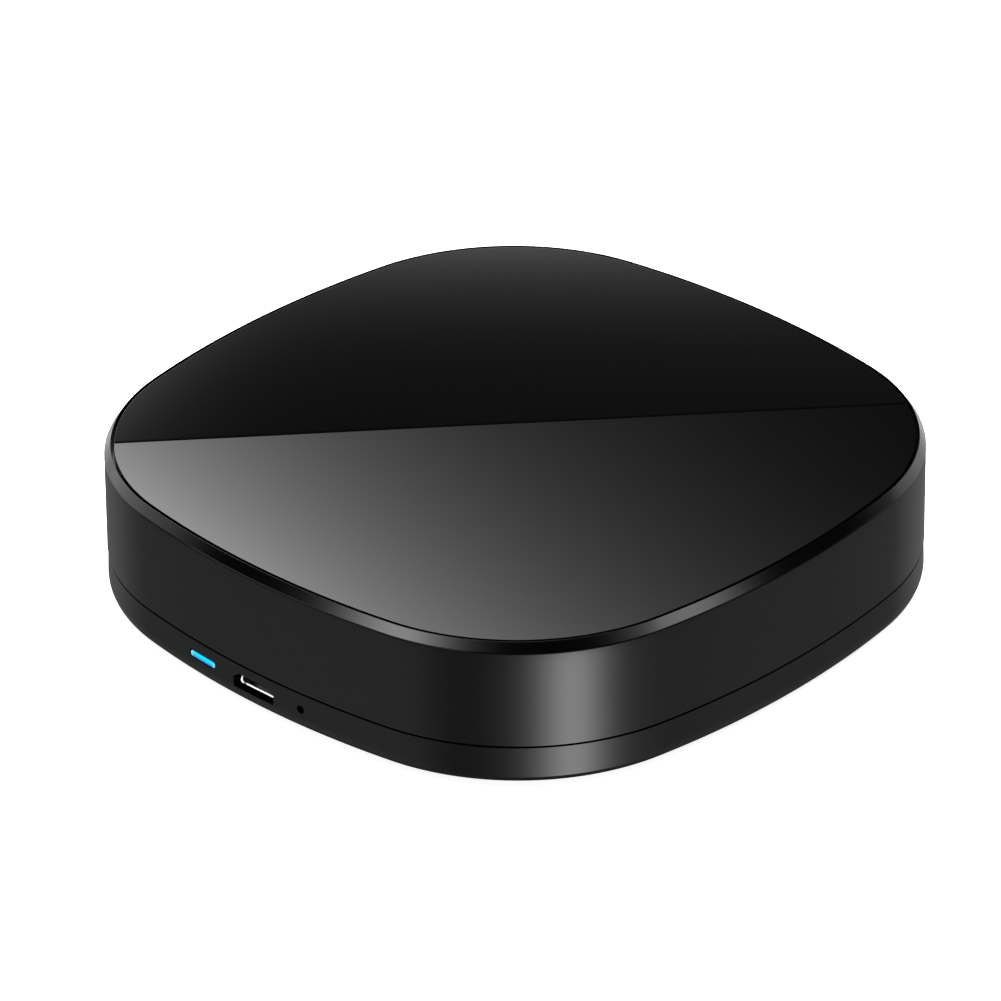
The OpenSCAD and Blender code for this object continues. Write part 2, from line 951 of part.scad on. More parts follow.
module capacitor_can() {
    groove_z = can_h / 5;
    color("silver")
        on_board(can_shares)
            translate([0, 0, can_base.z])
                rotate_extrude($fn = small_fn)
                    polygon([
                        [0, 0], [can_r, 0], [can_r, groove_z], [can_r - can_groove, groove_z + can_groove],
                        [can_r, groove_z + 2 * can_groove], [can_r, can_h - can_base.z - can_groove],
                        [can_r - can_groove, can_h - can_base.z], [0, can_h - can_base.z]
                    ]);
}

module regulator() {
    color("#18181a")
        on_board(regulator_shares)
            block(regulator_size);
}

module regulator_leads() {
    color("silver")
        on_board(regulator_shares) {
            translate([0, (regulator_size.y + regulator_tab.y) / 2, 0])
                block(regulator_tab);
            for (i = [-1:1])
                translate([i * regulator_pitch, -(regulator_size.y + regulator_lead.y) / 2, 0])
                    block(regulator_lead);
        }
}

// One driver stands behind each ring emitter, with its resistor beside it
module at_drivers() {
    at_emitters()
        translate([lead_at - transistor_back, 0, board_top])
            rotate(90)
                children();
}

module driver_transistors() {
    color("#18181a")
        at_drivers()
            block(transistor_size);
}

module transistor_leads() {
    lead_y = (transistor_size.y + transistor_lead.y) / 2;
    color("silver")
        at_drivers() {
            translate([0, lead_y, 0])
                block(transistor_lead);
            for (side = [-1, 1])
                translate([side * transistor_pitch / 2, -lead_y, 0])
                    block(transistor_lead);
        }
}

// Each lies on the side of its driver that faces away from the radio module
module chip_resistors() {
    beside = transistor_size.x + resistor_size.y / 2;
    color("#2b2b30")
        for (i = [0:emitter_count - 1])
            rotate(emitter_first + emitter_step * i)
                translate([lead_at - transistor_back, i < emitter_count / 2 ? -beside : beside, board_top])
                    block(resistor_size);
}

module chip_capacitors() {
    color("#a98a62")
        for (shares = chip_cap_shares)
            on_board(shares)
                block(chip_cap_size);
}

top_panel();
panel_gasket();
upper_shell();
base_shell();
for (i = [1:4]) foot(i);
case_screws();
board_screws();
main_board();
usb_shell();
usb_tongue();
usb_contacts();
reset_switch();
switch_terminals();
reset_plunger();
reset_dome();
status_led();
status_led_lens();
light_pipe();
for (i = [1:6]) ring_emitter(i);
top_emitter();
emitter_leads();
ir_receiver();
receiver_leads();
module_board();
module_antenna();
module_shield();
module_chip();
capacitor_base();
capacitor_can();
regulator();
regulator_leads();
driver_transistors();
transistor_leads();
chip_resistors();
chip_capacitors();
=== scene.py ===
"""Smart infrared blaster: a low black housing with a gloss top that lets infrared through.

The script follows the device as it is put together: base shell, feet and screws, board, socket,
switch, lamp, emitters, receiver, radio module, power parts, upper shell, adhesive and panel.
The camera, the outline of the housing and the lights come first. Lengths are in metres.
"""
import math

import bpy
import numpy as np
from mathutils import Matrix


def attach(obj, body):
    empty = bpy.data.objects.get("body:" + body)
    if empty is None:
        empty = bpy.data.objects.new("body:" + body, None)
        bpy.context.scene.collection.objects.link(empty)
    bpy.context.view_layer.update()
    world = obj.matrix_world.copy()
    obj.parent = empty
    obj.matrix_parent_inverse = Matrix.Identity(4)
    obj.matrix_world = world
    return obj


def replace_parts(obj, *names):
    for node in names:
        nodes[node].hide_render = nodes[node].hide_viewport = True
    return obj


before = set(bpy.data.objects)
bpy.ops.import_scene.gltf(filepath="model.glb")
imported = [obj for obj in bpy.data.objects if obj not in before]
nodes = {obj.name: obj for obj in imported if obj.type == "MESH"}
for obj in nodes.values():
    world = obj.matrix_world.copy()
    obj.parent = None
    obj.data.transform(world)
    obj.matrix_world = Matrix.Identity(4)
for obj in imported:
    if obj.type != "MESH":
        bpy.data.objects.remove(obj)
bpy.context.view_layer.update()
MM = 0.001

# Camera: a long lens a little above the device, which looks at its front right corner. Its axes
# come from a fit of the housing's outline, seam and ports in the photograph.
camera_at = np.array([0.65663, -0.68378, 0.55367])
camera_right = (0.72297716, 0.69082382, -0.00815362)
camera_up = (-0.33751356, 0.36347113, 0.86831638)
camera_back = (0.60281724, -0.62502095, 0.49594373)
camera_data = bpy.data.cameras.new("camera")
camera_data.sensor_width = 36
camera_data.lens = 289.26
camera_data.clip_start = 0.05
camera_data.clip_end = 60
camera = bpy.data.objects.new("camera", camera_data)
bpy.context.scene.collection.objects.link(camera)
camera.matrix_world = Matrix.Translation(camera_at) @ Matrix(
    (camera_right, camera_up, camera_back)).transposed().to_4x4()
bpy.context.scene.camera = camera


# Outline of the housing: eight arcs that blend into each other, four long bowed sides and four
# corners. Every moulded ring of the device follows it at some distance in from the outside.
half_w = 50 * MM
side_r = 130 * MM
corner_r = 31.5 * MM
side_centre = half_w - side_r
corner_at = (side_centre + math.sqrt(2 * (side_r - corner_r) ** 2 - side_centre ** 2)) / 2
side_turn = math.atan2(corner_at, corner_at - side_centre)


def outline_arcs(side_steps=44, corner_steps=60):
    """Angle, centre and radius of each point round the outline. A point lies at
    centre + (radius - inset) * (cos angle, sin angle), and the angle is also its normal's."""
    side = np.linspace(-side_turn, side_turn, side_steps, endpoint=False)
    corner = np.linspace(side_turn, np.pi / 2 - side_turn, corner_steps, endpoint=False)
    quarter_turn = np.concatenate([side, corner])
    centre = np.concatenate([
        np.tile([side_centre, 0.0], (side_steps, 1)),
        np.tile([corner_at, corner_at], (corner_steps, 1))])
    radius = np.concatenate([np.full(side_steps, side_r), np.full(corner_steps, corner_r)])
    q = np.arange(4)[:, None] * np.pi / 2
    angle = (q + quarter_turn).ravel()
    cx = (np.cos(q) * centre[:, 0] - np.sin(q) * centre[:, 1]).ravel()
    cy = (np.sin(q) * centre[:, 0] + np.cos(q) * centre[:, 1]).ravel()
    return angle, np.stack([cx, cy], 1), np.tile(radius, 4)


def on_outline(inset, z, arcs):
    """Rows of points at each pair of (inset, z), one column for each angle of the outline."""
    angle, centre, radius = arcs
    reach = radius[None] - np.asarray(inset)[:, None]
    x = centre[None, :, 0] + reach * np.cos(angle)
    y = centre[None, :, 1] + reach * np.sin(angle)
    return np.stack([x, y, np.broadcast_to(np.asarray(z)[:, None], x.shape)], -1)


# Studio: a pale floor under a wide soft light from above. Long soft cards, which only the gloss
# of the device sees, stand where its panel, chamfer and walls mirror them towards the camera.
bpy.context.scene.view_settings.view_transform = "Standard"


def new_mesh(name, points, faces):
    """Puts points and faces into a mesh of that name, and links its object into the scene."""
    mesh = bpy.data.meshes.new(name)
    mesh.from_pydata(points.tolist(), [], [list(f) for f in faces])
    mesh.update()
    made = bpy.data.objects.new(name, mesh)
    bpy.context.scene.collection.objects.link(made)
    return made


def grid_faces(rows, columns, wrap_columns=False, wrap_rows=False):
    """Quads between neighbouring rows and columns of a grid whose points run row by row."""
    r = np.arange(rows if wrap_rows else rows - 1)[:, None]
    c = np.arange(columns if wrap_columns else columns - 1)[None]
    r2, c2 = (r + 1) % rows, (c + 1) % columns
    quads = [r * columns + c, r * columns + c2, r2 * columns + c2, r2 * columns + c]
    size = (r.shape[0], c.shape[1])
    return np.stack([np.broadcast_to(q, size) for q in quads], -1).reshape(-1, 4)


def light_card(name, points, glow):
    """A card on a grid of points, whose light is glow at each of them."""
    rows, columns = points.shape[:2]
    card = new_mesh(name, points.reshape(-1, 3), grid_faces(rows, columns))
    card.data.attributes.new("glow", "FLOAT", "POINT").data.foreach_set("value", glow.ravel())
    paper = bpy.data.materials.new(name)
    paper.use_nodes = True
    tree = paper.node_tree
    tree.nodes.clear()
    lamp = tree.nodes.new("ShaderNodeEmission")
    strength = tree.nodes.new("ShaderNodeAttribute")
    strength.attribute_name = "glow"
    out = tree.nodes.new("ShaderNodeOutputMaterial")
    tree.links.new(strength.outputs["Fac"], lamp.inputs["Strength"])
    tree.links.new(lamp.outputs[0], out.inputs["Surface"])
    card.data.materials.append(paper)
    card.visible_camera = False
    card.visible_diffuse = False
    card.visible_shadow = False


def mirrored(points, normals):
    """Direction in which a mirror at points, with these normals, sends the camera's view: the
    view less twice its share along the normal."""
    view = points - camera_at
    view = view / np.linalg.norm(view, axis=-1, keepdims=True)
    return view - 2 * (view * normals).sum(-1, keepdims=True) * normals


def smooth(value, start, end):
    """Goes from 0 at start to 1 at end, level at both: three squares less two cubes of the
    share of the way."""
    t = np.clip((value - start) / (end - start), 0, 1)
    return t * t * (3 - 2 * t)


# Panel cards: a straight edge runs across the top, from left to right. On its near side the
# light falls off evenly to the right, and on its far side it is nearly dark. Where a fall starts
# and how fast it goes are in millimetres across and up the picture, from its middle.
edge_from = np.array([-50.5, -52.7, 22.4]) * MM
edge_to = np.array([49.3, 60.8, 22.4]) * MM
panel_reach = 105 * MM
card_gap = 150 * MM
near_glow, near_start, near_slant, near_fall = 2.83, -44.3, 1.35, 25.3
far_glow = 0.0213
top_glow, top_start, top_fall = 0.332, 32.5, 5.55
left_glow, left_start, left_slant, left_fall = 0.051, -50.5, -0.815, 5.89
most_glow = 6
along, away = np.meshgrid(np.linspace(-0.5, 1.5, 120), 1.5 * np.linspace(0, 1, 74) ** 2)
end_fade = smooth(along, start=-0.5, end=-0.04) * smooth(along, start=1.5, end=1.04)
outer_fade = smooth(away, start=1.5, end=0.66)
dark_edge = smooth(away, start=0.002, end=0.008)
edge_way = (edge_to - edge_from) / np.linalg.norm(edge_to - edge_from)
near_way = np.array([edge_way[1], -edge_way[0], 0])
for name, side in (("near_card", 1), ("far_card", -1)):
    spot = (edge_from + along[..., None] * (edge_to - edge_from)
            + away[..., None] * side * near_way * panel_reach)
    across = (spot - camera_at) @ np.array(camera_right) / MM
    upward = (spot - camera_at) @ np.array(camera_up) / MM
    if side > 0:
        glow = near_glow * np.exp(-(across + near_slant * upward - near_start) / near_fall)
    else:
        glow = (far_glow + top_glow * np.exp((upward - top_start) / top_fall)
                + left_glow * np.exp(-(across + left_slant * upward - left_start) / left_fall))
        glow = glow * dark_edge
    light_card(name, spot + card_gap * mirrored(spot, np.array([0, 0, 1.0])),
               np.minimum(glow, most_glow) * end_fade * outer_fade)

# Directions round the device are turns in degrees from the camera's, positive to the right.
camera_turn = math.atan2(camera_at[1], camera_at[0])


def front_spots(turn, z):
    """Points and level normals of the housing's outside at these turns and heights. A side's
    centre serves the angles up to side_turn from its middle, and a corner's serves the rest."""
    angle = (camera_turn + np.radians(turn)) % (2 * np.pi)
    quarter = np.floor((angle + side_turn) / (np.pi / 2)) * np.pi / 2
    on_side = angle - quarter <= side_turn
    reach = np.where(on_side, side_r, corner_r)
    cx, cy = np.where(on_side, side_centre, corner_at), np.where(on_side, 0, corner_at)
    x = np.cos(quarter) * cx - np.sin(quarter) * cy + reach * np.cos(angle)
    y = np.sin(quarter) * cx + np.cos(quarter) * cy + reach * np.sin(angle)
    level = np.stack(np.broadcast_arrays(np.cos(angle), np.sin(angle), 0 * z), -1)
    return np.stack(np.broadcast_arrays(x, y, z), -1), level


def hump(value, peak, before, after):
    """A bell curve, 1 at peak, with its own width on each side of it."""
    return np.exp(-0.5 * ((value - peak) / np.where(value < peak, before, after)) ** 2)


# Rim card: a band round the front of the device that its chamfer mirrors, with a bright stretch
# on each side of the corner and a dimmer one towards each end.
turn = np.linspace(-135, 135, 360)
chamfer_z = 21.75 * MM
rim_gap = 600 * MM
rim_tilt = np.radians(np.linspace(-9, 9, 8))[:, None] + math.atan2(0.88, 1.3)
spot, level = front_spots(turn[None], chamfer_z + 0 * rim_tilt)
normal = level * np.cos(rim_tilt)[..., None] + np.array([0, 0, 1]) * np.sin(rim_tilt)[..., None]
left_stretch = 12 * np.minimum(1.15 * hump(turn, peak=-32.5, before=2.7, after=9.3), 1)
right_stretch = 3.8 * (hump(turn, peak=38.3, before=2.5, after=2.2)
                       + hump(turn, peak=38.3, before=8, after=2.2))
left_end = (2.35 * smooth(turn, start=-46.5, end=-55.5)
            * (1 - 0.35 * smooth(-turn, start=68, end=88)))
right_end = (1.7 * smooth(turn, start=51.5, end=63)
             * (1 - 0.2 * smooth(turn, start=78, end=88)))
rear_dim = 1 - 0.62 * smooth(np.abs(turn), start=84, end=104)
glow = (left_stretch + right_stretch + left_end + right_end) * rear_dim
light_card("rim_card", spot + rim_gap * mirrored(spot, normal),
           np.broadcast_to(glow, (8, 360)).copy())

# Wall card: lies on the floor where the walls mirror it, even along the two sides, with a bright
# strip for the corner. It dims towards the device, whose lower edge mirrors more of it.
turn = np.linspace(-89, 89, 240)
wall_z = np.linspace(0.5, 21.5, 20)[:, None]
wall_card_z = 0.4 * MM
spot, level = front_spots(turn[None], wall_z * MM)
ray = mirrored(spot, level)
spot = spot + ray * ((spot[..., 2:] - wall_card_z) / -ray[..., 2:])
even = 0.355 + 0.41 * smooth(np.abs(turn), start=56, end=28)
end_dim = 1 - 0.62 * smooth(np.abs(turn), start=62, end=86)
corner_dim = 1 - 0.52 * smooth(turn, start=-28, end=-14) * smooth(turn, start=40, end=20)
right_dim = 1 - 0.16 * hump(turn, peak=37, before=3, after=2.5)
corner_strip = (7.2 * hump(turn, peak=12.1, before=5.1, after=5.1)
                + 3.1 * hump(turn, peak=12.1, before=8.6, after=8.6))
right_end = 0.04 * smooth(turn, start=55, end=62)
foot_dim = 0.5 + 0.5 * smooth(wall_z, start=0.2, end=2.4)
glow = (even * end_dim * corner_dim * right_dim + corner_strip + right_end) * foot_dim
light_card("wall_card", spot, glow)

# Sheet card: rings on the floor under the wall card, from beneath the device to far beyond it,
# dark under the device, dim round it, and brighter behind it. Distances are in millimetres.
out_by = np.array([-14, -3, -2, -1, 0, 1, 2, 3.2, 6, 12, 24, 60, 200, 6000])
sheet_z = np.full(len(out_by), 0.3 * MM)
spot = on_outline(-out_by * MM, sheet_z, outline_arcs(12, 12))
spot = np.concatenate([spot, spot[:, :1]], 1)
facing = np.cos(np.arctan2(spot[..., 1], spot[..., 0]) - camera_turn)
close_by = smooth(out_by, start=-2.2, end=2.5) * (1 - 0.6 * smooth(out_by, start=24, end=60))
around = close_by[:, None] * (0.2 + 0.26 * smooth(facing, start=0, end=0.8))
behind = 1.3 * smooth(out_by, start=44, end=62)[:, None] * smooth(facing, start=0.1, end=-0.3)
light_card("sheet_card", spot, 0.005 + around + behind)

# Low card: an arc that stands on the floor before the socket, for the bright lip of its mouth.
low_gap = 500 * MM
mouth_y = -48 * MM
turn, upward = np.meshgrid(np.radians(np.linspace(-50, 24, 26)), np.linspace(1, 100, 6) * MM)
spot = np.stack([low_gap * np.sin(turn), mouth_y - low_gap * np.cos(turn), upward], -1)
light_card("low_card", spot, np.full(turn.shape, 2.5))

# Floor: a wide pale disc, so light that it fades into the white behind it.
floor_turn = np.linspace(0, 2 * np.pi, 96, endpoint=False)
floor_reach = np.array([0.3, 1, 4, 15])[:, None]
floor_points = np.stack([floor_reach * np.cos(floor_turn), floor_reach * np.sin(floor_turn),
                         np.zeros((4, 96))], -1).reshape(-1, 3)
floor_mesh = [list(q) for q in grid_faces(4, 96, wrap_columns=True)] + [list(range(96))]
floor = new_mesh("floor", floor_points, floor_mesh)
floor_paint = bpy.data.materials.new("pale_floor")
floor_paint.use_nodes = True
floor_shader = floor_paint.node_tree.nodes["Principled BSDF"]
for socket, value in (("Base Color", (0.9, 0.9, 0.9, 1)), ("Roughness", 0.9),
                      ("Specular IOR Level", 0), ("Emission Color", (1, 1, 1, 1)),
                      ("Emission Strength", 0.95)):
    floor_shader.inputs[socket].default_value = value
floor.data.materials.append(floor_paint)

sky = bpy.data.worlds.new("studio")
bpy.context.scene.world = sky
sky.use_nodes = True
sky_tree = sky.node_tree
sky_side = sky_tree.nodes.new("ShaderNodeTexCoord")
sky_split = sky_tree.nodes.new("ShaderNodeSeparateXYZ")
sky_level = sky_tree.nodes.new("ShaderNodeMapRange")
sky_level.interpolation_type = "SMOOTHSTEP"
for socket, value in (("From Min", 0.72), ("From Max", 0.95), ("To Min", 0.01), ("To Max", 8.0)):
    sky_level.inputs[socket].default_value = value
sky_tree.links.new(sky_side.outputs["Generated"], sky_split.inputs[0])
sky_tree.links.new(sky_split.outputs["Z"], sky_level.inputs["Value"])
sky_tree.links.new(sky_level.outputs[0], sky_tree.nodes["Background"].inputs["Strength"])
sky_tree.nodes["Background"].inputs["Color"].default_value = (1, 1, 1, 1)


# Base shell: satin black ABS, moulded as one tray with a rounded lower edge, a lip at the seam,
# corner posts, standoffs and ribs. The ports are cut through its front wall.
class Tone:
    """A socket of one finish. Arithmetic on it adds the Math node that works it out."""

    def __init__(self, finish, socket):
        self.finish = finish
        self.socket = socket

    def worked(self, operation, other=0.0):
        """The result of one Math node on this tone and another tone or number."""
        return self.finish.add("ShaderNodeMath", {"operation": operation}, {0: self, 1: other})

    def __add__(self, other):
        return self.worked("ADD", other)

    def __sub__(self, other):
        return self.worked("SUBTRACT", other)

    def __mul__(self, other):
        return self.worked("MULTIPLY", other)

    def step(self, low, high, from_value=0.0, to_value=1.0):
        """Goes smoothly from from_value at low to to_value at high."""
        return self.finish.add("ShaderNodeMapRange", {"interpolation_type": "SMOOTHSTEP"}, {
            "Value": self, "From Min": low, "From Max": high,
            "To Min": from_value, "To Max": to_value})

    __radd__ = __add__
    __rmul__ = __mul__


class Finish:
    """A procedural finish on one Principled shader, worked out from the piece's own place."""

    def __init__(self, name, colour, roughness, metallic=0.0, **fixed):
        self.material = bpy.data.materials.new(name)
        self.material.use_nodes = True
        self.tree = self.material.node_tree
        self.shader = self.tree.nodes["Principled BSDF"]
        self.place = self.add("ShaderNodeTexCoord", output="Object")
        self.set("Base Color", (*colour, 1))
        self.set("Roughness", roughness)
        self.set("Metallic", metallic)
        for socket, value in fixed.items():
            self.set(socket.replace("_", " "), value)

    def add(self, kind, settings=None, sockets=None, output=0):
        """Adds any node, with its settings and socket values, and gives one of its outputs."""
        node = self.tree.nodes.new(kind)
        for name, value in (settings or {}).items():
            setattr(node, name, value)
        for name, value in (sockets or {}).items():
            self.join(value, node.inputs[name])
        return Tone(self, node.outputs[output])

    def join(self, value, socket):
        """Links a tone to a socket, or sets the socket to a plain value."""
        if isinstance(value, Tone):
            self.tree.links.new(value.socket, socket)
        else:
            socket.default_value = value

    def set(self, name, value):
        """Joins a value to one of the shader's own sockets."""
        self.join(value, self.shader.inputs[name])

    def axis(self, which):
        """The piece's own x, y or z, in metres."""
        return self.add("ShaderNodeSeparateXYZ", sockets={0: self.place}, output=which)

    def cloud(self, size, detail=3.0, stretch=(1, 1, 1)):
        """Soft noise from 0 to 1, whose spots are about size metres wide."""
        spread = self.add("ShaderNodeMapping", sockets={"Vector": self.place, "Scale": stretch})
        return self.add("ShaderNodeTexNoise", sockets={
            "Vector": spread, "Scale": 1 / size, "Detail": detail})

    def between(self, factor, first, second):
        """A colour that goes from first to second with factor."""
        return self.add("ShaderNodeMix", {"data_type": "RGBA"}, {
            0: factor, 6: first if isinstance(first, Tone) else (*first, 1),
            7: second if isinstance(second, Tone) else (*second, 1)}, output=2)

    def tint(self, factor, first, second):
        """Base colour that goes from first to second with factor."""
        self.set("Base Color", self.between(factor, first, second))

    def relief(self, height, depth):
        """Raises and lowers the surface by height times depth metres, in its shading only."""
        self.set("Normal", self.add("ShaderNodeBump", sockets={
            "Strength": 1.0, "Distance": depth, "Height": height}))

    def dress(self, *names):
        """Gives the carried CAD pieces this finish."""
        for name in names:
            nodes[name].data.materials.clear()
            nodes[name].data.materials.append(self.material)


shell_black = Finish("shell_plastic", (0.0006, 0.0006, 0.0007), 0.14, Specular_IOR_Level=0.23)
shell_grain = shell_black.cloud(0.35 * MM, 2)
shell_haze = shell_black.cloud(14 * MM, 3)
shell_black.set("Roughness", shell_haze * 0.03 + shell_grain * 0.02 + 0.09)
shell_black.tint(shell_haze, (0.0004, 0.0004, 0.0005), (0.0008, 0.0008, 0.0009))
shell_black.relief(shell_grain, 0.0012 * MM)

arcs = outline_arcs()


def rounded(corners, radius, steps=5):
    """Profile of (inset, z) corners, each rounded by a small arc of its own radius. A point of
    the arc is corner + radius-long tangents blended by the quarter cosine and sine."""
    corners = np.asarray(corners, float)
    before, after = np.roll(corners, 1, 0) - corners, np.roll(corners, -1, 0) - corners
    radius = np.asarray(radius, float)[:, None]
    back = before / np.maximum(np.linalg.norm(before, axis=1, keepdims=True), 1e-9)
    on = after / np.maximum(np.linalg.norm(after, axis=1, keepdims=True), 1e-9)
    t = np.linspace(0, np.pi / 2, steps)[None, :, None]
    arc = (corners[:, None] + radius[:, None] * back[:, None] * (1 - np.sin(t))
           + radius[:, None] * on[:, None] * (1 - np.cos(t)))
    keep = (radius[:, 0] > 0)[:, None] | (np.arange(steps) == 0)[None]
    return arc[keep]


def supported(profile, margin):
    """Adds a point near both ends of every long stretch, so that smooth shading stays flat."""
    out = []
    for start, end in zip(profile[:-1], profile[1:]):
        length = np.linalg.norm(end - start)
        out.append(start)
        if length > 4 * margin:
            out += [start + (end - start) * margin / length, end - (end - start) * margin / length]
    out.append(profile[-1])
    return np.array(out)


def globe(name, profile):
    """A closed form that runs from a pole under the middle, along the profile of (inset, z)
    points round the outline, to a pole above the middle."""
    rows = on_outline(profile[:, 0], profile[:, 1], arcs)
    columns = rows.shape[1]
    low, high = rows[0] * [0.5, 0.5, 1], rows[-1] * [0.5, 0.5, 1]
    body = np.concatenate([low[None], rows, high[None]]).reshape(-1, 3)
    points = np.concatenate([body, [[0, 0, rows[0, 0, 2]]], [[0, 0, rows[-1, 0, 2]]]])
    count = rows.shape[0] + 2
    c = np.arange(columns)
    c2 = (c + 1) % columns
    faces = [*grid_faces(count, columns, wrap_columns=True),
             *np.stack([np.full(columns, len(body)), c2, c], 1),
             *np.stack([np.full(columns, len(body) + 1), c + (count - 1) * columns,
                        c2 + (count - 1) * columns], 1)]
    return new_mesh(name, points, faces)


def prism_arrays(outline, low, high):
    """A closed prism: the flat outline of (x, y) points between two heights."""
    n = len(outline)
    points = np.concatenate([np.c_[outline, np.full(n, low)], np.c_[outline, np.full(n, high)]])
    c = np.arange(n)
    sides = np.stack([c, (c + 1) % n, (c + 1) % n + n, c + n], 1)
    return points, [*sides.tolist(), c[::-1].tolist(), (c + n).tolist()]


def circle(radius, at, steps=48):
    """Points of a circle round a centre, counter-clockwise."""
    t = np.linspace(0, 2 * np.pi, steps, endpoint=False)
    return np.stack([at[0] + radius * np.cos(t), at[1] + radius * np.sin(t)], 1)


def tube_arrays(inner, outer, low, high, at, steps=48):
    """A tube that stands at a point: a closed square profile carried round a circle."""
    t = np.linspace(0, 2 * np.pi, steps, endpoint=False)
    ring = np.array([(outer, low), (outer, high), (inner, high), (inner, low)])
    points = np.stack([at[0] + ring[:, :1] * np.cos(t), at[1] + ring[:, :1] * np.sin(t),
                       np.broadcast_to(ring[:, 1:], (4, steps))], -1).reshape(-1, 3)
    faces = grid_faces(4, steps, wrap_columns=True, wrap_rows=True)
    return points, faces[:, ::-1].tolist()


def gathered(parts):
    """Joins several (points, faces) into one."""
    points, faces, start = [], [], 0
    for some, their in parts:
        points.append(some)
        faces += [[i + start for i in f] for f in their]
        start += len(some)
    return np.concatenate(points), faces


def cut(piece, cutters):
    """Cuts closed forms out of a piece, and keeps the result as its mesh."""
    tool = new_mesh("tool", *gathered(cutters))
    change = piece.modifiers.new("cut", "BOOLEAN")
    change.operation = "DIFFERENCE"
    change.solver = "EXACT"
    change.object = tool
    worked_out = piece.evaluated_get(bpy.context.evaluated_depsgraph_get())
    done = bpy.data.meshes.new_from_object(worked_out)
    piece.modifiers.clear()
    old = piece.data
    piece.data = done
    bpy.data.meshes.remove(old)
    bpy.data.objects.remove(tool)


def joined(piece, parts):
    """Adds closed forms to a piece's mesh."""
    extra = new_mesh("extra", *gathered(parts))
    bpy.context.view_layer.objects.active = piece
    both = [piece, extra]
    with bpy.context.temp_override(active_object=piece, selected_editable_objects=both):
        bpy.ops.object.join()


def finished(piece, finish, body="housing", angle=32):
    """Smooth shading up to an angle, flat faces kept flat, the finish, and the body it rides on."""
    piece.data.materials.clear()
    piece.data.materials.append(finish.material)
    piece.data.polygons.foreach_set("material_index", np.zeros(len(piece.data.polygons), int))
    piece.data.shade_smooth()
    piece.data.set_sharp_from_angle(angle=math.radians(angle))
    weigh = piece.modifiers.new("flat", "WEIGHTED_NORMAL")
    weigh.keep_sharp = True
    weigh.weight = 80
    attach(piece, body)
    return piece


# Profile of the tray, in (inset, z): the rounded lower edge, the wall up to the seam, the lap
# joint with its lip, the wall's inside and the floor, whose middle the poles close.
base_z = 0.8 * MM
floor_z = 2.6 * MM
edge_r = 2.4 * MM
middle = 20.16 * MM
edge_angle = np.linspace(0, np.pi / 2, 14)
lower_edge = np.stack([edge_r * (1 - np.sin(edge_angle)),
                       base_z + edge_r * (1 - np.cos(edge_angle))], 1)
base_corners = np.array([(0, 6.75), (0.5, 6.75), (0.5, 7.05), (1.0, 7.05), (1.0, 9.25),
                         (1.8, 9.25), (1.8, 2.6), (20.16, 2.6)]) * MM
base_radii = np.array([0.1, 0, 0, 0, 0.2, 0.2, 0, 0]) * MM
base_profile = np.concatenate([[[middle, base_z]], lower_edge, rounded(base_corners, base_radii)])
base_shell = globe("base", supported(base_profile, 0.1 * MM))

front_from, front_to = -51 * MM, -46.9 * MM


def front_cut(outline):
    """A prism of (x, z) points that runs through the front wall, along y."""
    points, faces = prism_arrays(np.asarray(outline), front_from, front_to)
    return np.stack([points[:, 0], points[:, 2], points[:, 1]], 1), [f[::-1] for f in faces]


def pill(width, height, at, steps=16):
    """A slot's outline with round ends: half circles of half its height, at both its ends."""
    t = np.linspace(-np.pi / 2, np.pi / 2, steps)
    half = (width - height) / 2
    right = np.c_[at[0] + half + height / 2 * np.cos(t), at[1] + height / 2 * np.sin(t)]
    left = np.c_[at[0] - half - height / 2 * np.cos(t), at[1] - height / 2 * np.sin(t)]
    return np.concatenate([right, left])


# Ports: the socket's opening, the light's slot and the reset hole, then the foot recesses and
# the screws' holes up from below.
socket_x = -0.5 * MM
socket_low = base_z + 2.4 * MM
opening_r = 0.12 * MM
opening = np.array([(-3.75, 0), (3.75, 0), (3.75, 1.55), (2.65, 2.2), (-2.65, 2.2),
                    (-3.75, 1.55)]) * MM
opening = rounded(opening, [opening_r] * len(opening), 4) + [socket_x, socket_low]
light_spot = (-10.5 * MM, base_z + 3.76 * MM)
slot_w, slot_h = 5.46 * MM, 1.31 * MM
board_z = 5.475 * MM
reset_spot = (8.1 * MM, board_z - 1.04 * MM)
reset_r = 0.6 * MM
foot_r, foot_depth = 5.1 * MM, 0.8 * MM
head_r = 2.35 * MM
post_at, standoff_at = 33.66 * MM, 27.0 * MM
post_spots = [(post_at * a, post_at * b) for a in (-1, 1) for b in (-1, 1)]
standoff_spots = [(standoff_at * a, standoff_at * b) for a in (-1, 1) for b in (-1, 1)]
cut(base_shell, [
    front_cut(opening), front_cut(pill(slot_w, slot_h, light_spot)),
    front_cut(circle(reset_r, reset_spot)),
    *[prism_arrays(circle(foot_r, at), base_z - 1 * MM, base_z + foot_depth)
      for at in post_spots],
    *[prism_arrays(circle(head_r, at), base_z + 0.4 * MM, floor_z + 1 * MM)
      for at in post_spots]])

# What stands on the floor: corner posts in two steps, standoffs for the board and four ribs,
# all sunk a little into it.
root_z, step_z, post_top, rib_top = 2.2 * MM, 4.4 * MM, 7.2 * MM, 3.9 * MM
post_r, shank_r = 4 * MM, 1.3 * MM
standoff_r, thread_r = 2.5 * MM, 0.97 * MM
rib = np.array([(-27, 26.5), (27, 26.5), (27, 27.5), (-27, 27.5)]) * MM
quarters = [np.array([(math.cos(q), -math.sin(q)), (math.sin(q), math.cos(q))])
            for q in np.arange(4) * np.pi / 2]
joined(base_shell, [
    *[tube_arrays(head_r, post_r, root_z, step_z, at) for at in post_spots],
    *[tube_arrays(shank_r, post_r, step_z, post_top, at) for at in post_spots],
    *[tube_arrays(thread_r, standoff_r, root_z, board_z, at) for at in standoff_spots],
    *[prism_arrays(rib @ quarter.T, root_z, rib_top) for quarter in quarters]])
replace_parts(finished(base_shell, shell_black), "base_shell")


